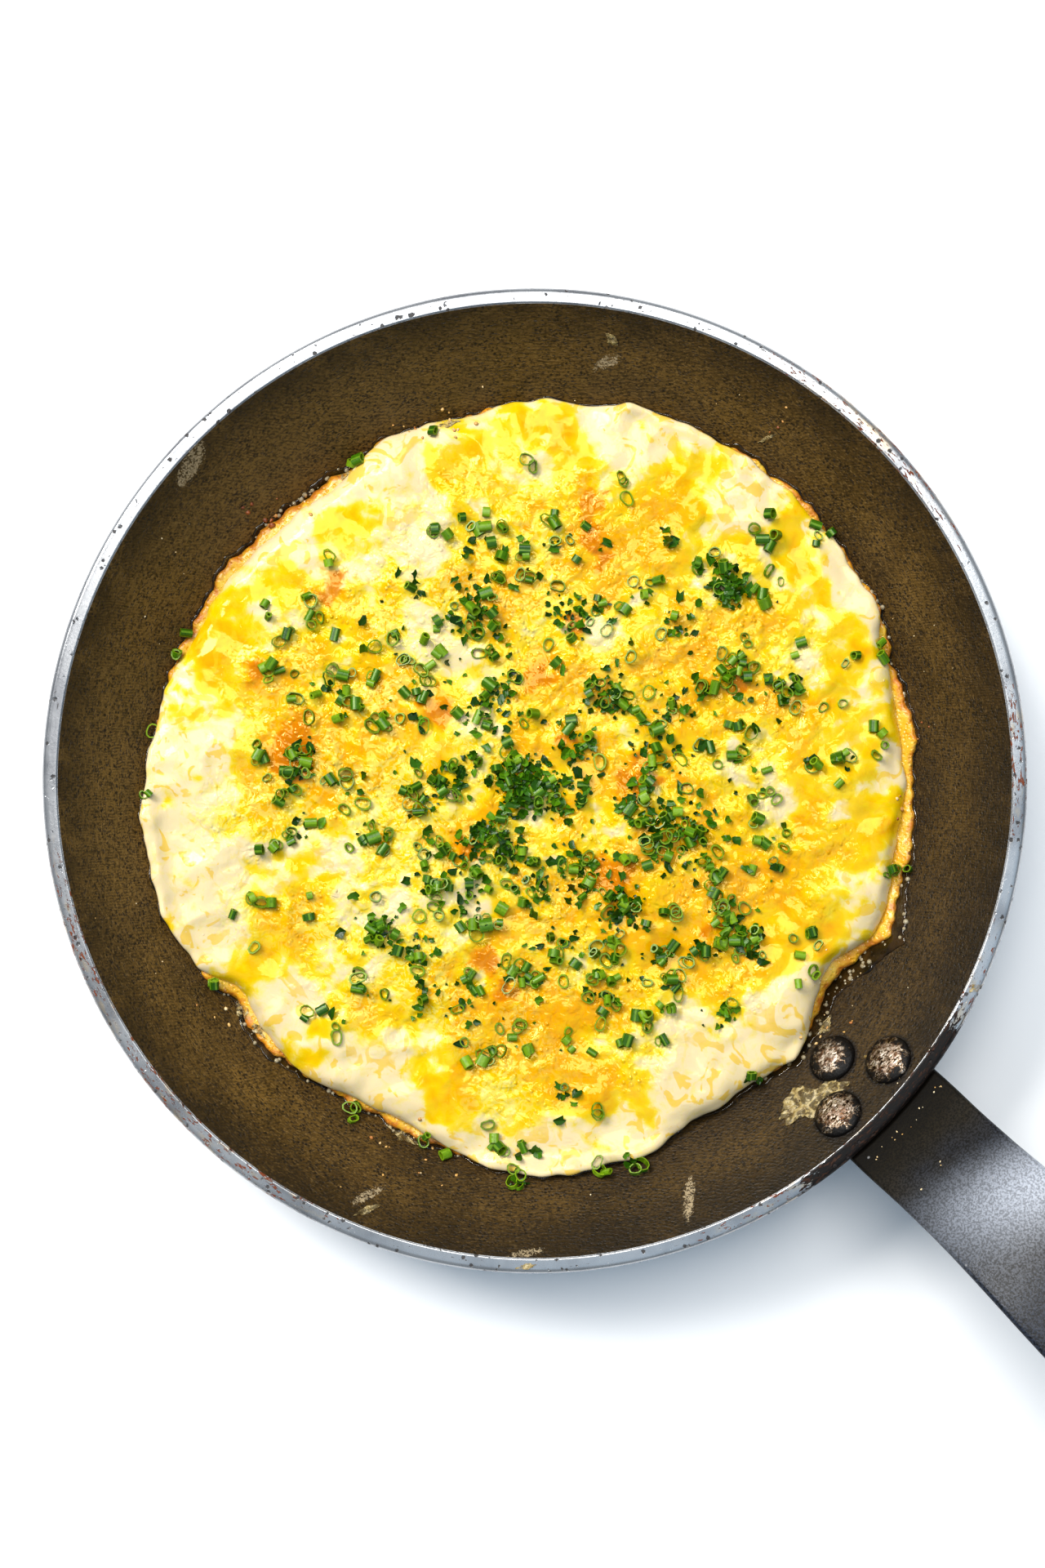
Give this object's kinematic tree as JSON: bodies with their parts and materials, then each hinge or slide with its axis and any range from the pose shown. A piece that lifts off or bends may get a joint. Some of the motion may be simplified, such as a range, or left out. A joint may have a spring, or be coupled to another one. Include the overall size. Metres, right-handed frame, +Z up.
{
  "type": "open omelette in frying pan",
  "caption": "Round open omelette under glazed cheese sauce with chopped herbs, in a riveted frying pan with a flat steel handle.",
  "frame": {"origin": "centre of the flat underside of the pan", "axes": "+X from the pan's centre along the handle, +Z up, +Y to the left of the handle seen from above with the handle pointing right"},
  "size_m": [0.4129, 0.2398, 0.1088],
  "materials": {
    "pan_aluminium": "aluminium with a brown-black non-stick coating inside and a bare, stained rim",
    "handle_steel": "dark blue-grey baked enamel on strip steel, fine orange-peel",
    "rivet_steel": "domed heads, mottled brown with burnt fat",
    "fried_egg": "moist yellow egg with browned edge",
    "glazed_sauce": "glossy cream and yellow-orange cheese sauce with tiny bubbles and toasted spots",
    "herbs": "fresh cut chives and chopped parsley",
    "butter_film": "thin clear browned butter",
    "food_residue": "dried scraps, crumbs and scuffs"
  },
  "bodies": {
    "root": {"pan_body": "pan_aluminium", "handle_strip": "handle_steel", "rivet_low": "rivet_steel", "rivet_high_left": "rivet_steel", "rivet_high_right": "rivet_steel", "egg_base": "fried_egg", "cheese_sauce": "glazed_sauce"}
  },
  "joints": []
}
